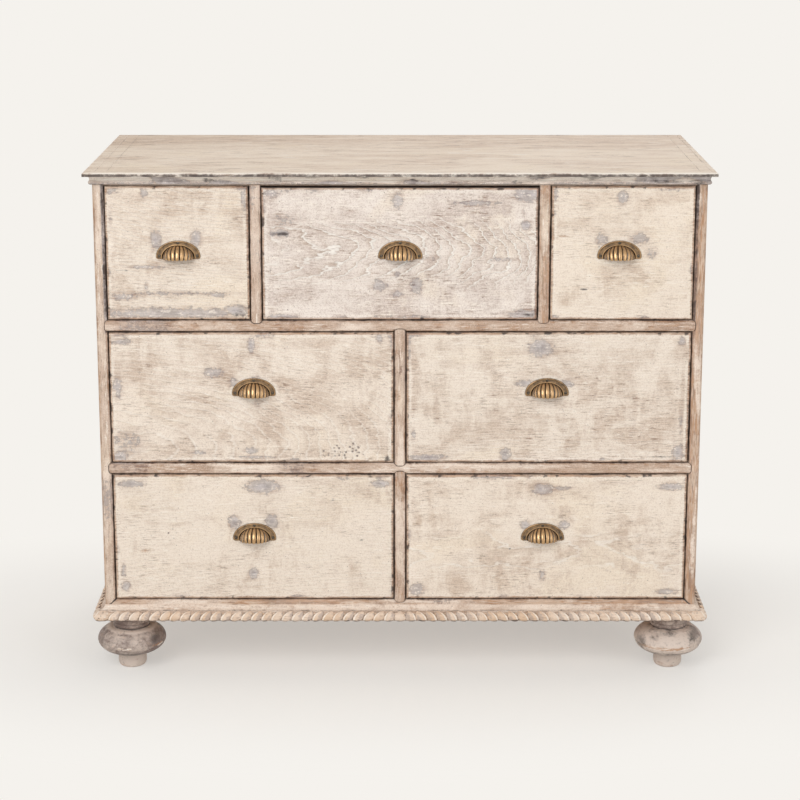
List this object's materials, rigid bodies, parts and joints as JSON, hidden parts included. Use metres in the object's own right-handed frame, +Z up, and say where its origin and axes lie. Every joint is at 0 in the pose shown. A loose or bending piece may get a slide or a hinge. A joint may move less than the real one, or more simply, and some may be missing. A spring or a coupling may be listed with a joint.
{
  "type": "multi-drawer chest",
  "caption": "Whitewashed pine chest of drawers with an overhanging top, rounded face frame, rope-carved base moulding, turned bun feet and fluted brass cup pulls.",
  "frame": {"origin": "on the floor, under the middle of the chest's bounding box", "axes": "+Z up, +X to the right as seen from the front, +Y from the drawer fronts to the back"},
  "size_m": [1.1836, 0.52, 0.9822],
  "materials": {
    "frame_pine": "worn whitewash over pine, brown at the edges",
    "side_pine": "whitewash over pine",
    "inner_pine": "bare pine",
    "top_pine": "worn limed pine",
    "moulding_pine": "greyed whitewash over pine",
    "rope_pine": "worn whitewash, dark in the carving",
    "foot_wood": "grey-brown stain",
    "front_pine": "brushed whitewash with grey patches",
    "box_pine": "bare pine",
    "bottom_board": "bare thin board",
    "pull_brass": "antiqued, dark in the flutes"
  },
  "bodies": {
    "carcass": {"back_panel": "inner_pine", "base_board": "moulding_pine", "bottom_panel": "inner_pine", "cornice_front": "moulding_pine", "cornice_left": "moulding_pine", "cornice_right": "moulding_pine", "dust_panel_lower": "inner_pine", "dust_panel_upper": "inner_pine", "foot_front_left": "foot_wood", "foot_front_right": "foot_wood", "foot_rear_left": "foot_wood", "foot_rear_right": "foot_wood", "muntin_bottom": "frame_pine", "muntin_middle": "frame_pine", "muntin_top_left": "frame_pine", "muntin_top_right": "frame_pine", "partition_bottom": "inner_pine", "partition_middle": "inner_pine", "partition_top_left": "inner_pine", "partition_top_right": "inner_pine", "rail_bottom": "frame_pine", "rail_lower": "frame_pine", "rail_top": "frame_pine", "rail_upper": "frame_pine", "rope_moulding_front": "rope_pine", "rope_moulding_left": "rope_pine", "rope_moulding_right": "rope_pine", "side_panel_left": "side_pine", "side_panel_right": "side_pine", "stile_left": "frame_pine", "stile_right": "frame_pine", "top_board": "top_pine"},
    "drawer_top_left": {"drawer_top_left_front": "front_pine", "drawer_top_left_box": "box_pine", "drawer_top_left_bottom": "bottom_board", "drawer_top_left_pull": "pull_brass"},
    "drawer_top_middle": {"drawer_top_middle_front": "front_pine", "drawer_top_middle_box": "box_pine", "drawer_top_middle_bottom": "bottom_board", "drawer_top_middle_pull": "pull_brass"},
    "drawer_top_right": {"drawer_top_right_front": "front_pine", "drawer_top_right_box": "box_pine", "drawer_top_right_bottom": "bottom_board", "drawer_top_right_pull": "pull_brass"},
    "drawer_middle_left": {"drawer_middle_left_front": "front_pine", "drawer_middle_left_box": "box_pine", "drawer_middle_left_bottom": "bottom_board", "drawer_middle_left_pull": "pull_brass"},
    "drawer_middle_right": {"drawer_middle_right_front": "front_pine", "drawer_middle_right_box": "box_pine", "drawer_middle_right_bottom": "bottom_board", "drawer_middle_right_pull": "pull_brass"},
    "drawer_bottom_left": {"drawer_bottom_left_front": "front_pine", "drawer_bottom_left_box": "box_pine", "drawer_bottom_left_bottom": "bottom_board", "drawer_bottom_left_pull": "pull_brass"},
    "drawer_bottom_right": {"drawer_bottom_right_front": "front_pine", "drawer_bottom_right_box": "box_pine", "drawer_bottom_right_bottom": "bottom_board", "drawer_bottom_right_pull": "pull_brass"}
  },
  "joints": [
    {"name": "drawer_top_left_slide", "type": "slide", "parent": "carcass", "child": "drawer_top_left", "axis": [0, -1, 0], "range_m": [0, 0.36]},
    {"name": "drawer_top_middle_slide", "type": "slide", "parent": "carcass", "child": "drawer_top_middle", "axis": [0, -1, 0], "range_m": [0, 0.36]},
    {"name": "drawer_top_right_slide", "type": "slide", "parent": "carcass", "child": "drawer_top_right", "axis": [0, -1, 0], "range_m": [0, 0.36]},
    {"name": "drawer_middle_left_slide", "type": "slide", "parent": "carcass", "child": "drawer_middle_left", "axis": [0, -1, 0], "range_m": [0, 0.36]},
    {"name": "drawer_middle_right_slide", "type": "slide", "parent": "carcass", "child": "drawer_middle_right", "axis": [0, -1, 0], "range_m": [0, 0.36]},
    {"name": "drawer_bottom_left_slide", "type": "slide", "parent": "carcass", "child": "drawer_bottom_left", "axis": [0, -1, 0], "range_m": [0, 0.36]},
    {"name": "drawer_bottom_right_slide", "type": "slide", "parent": "carcass", "child": "drawer_bottom_right", "axis": [0, -1, 0], "range_m": [0, 0.36]}
  ]
}
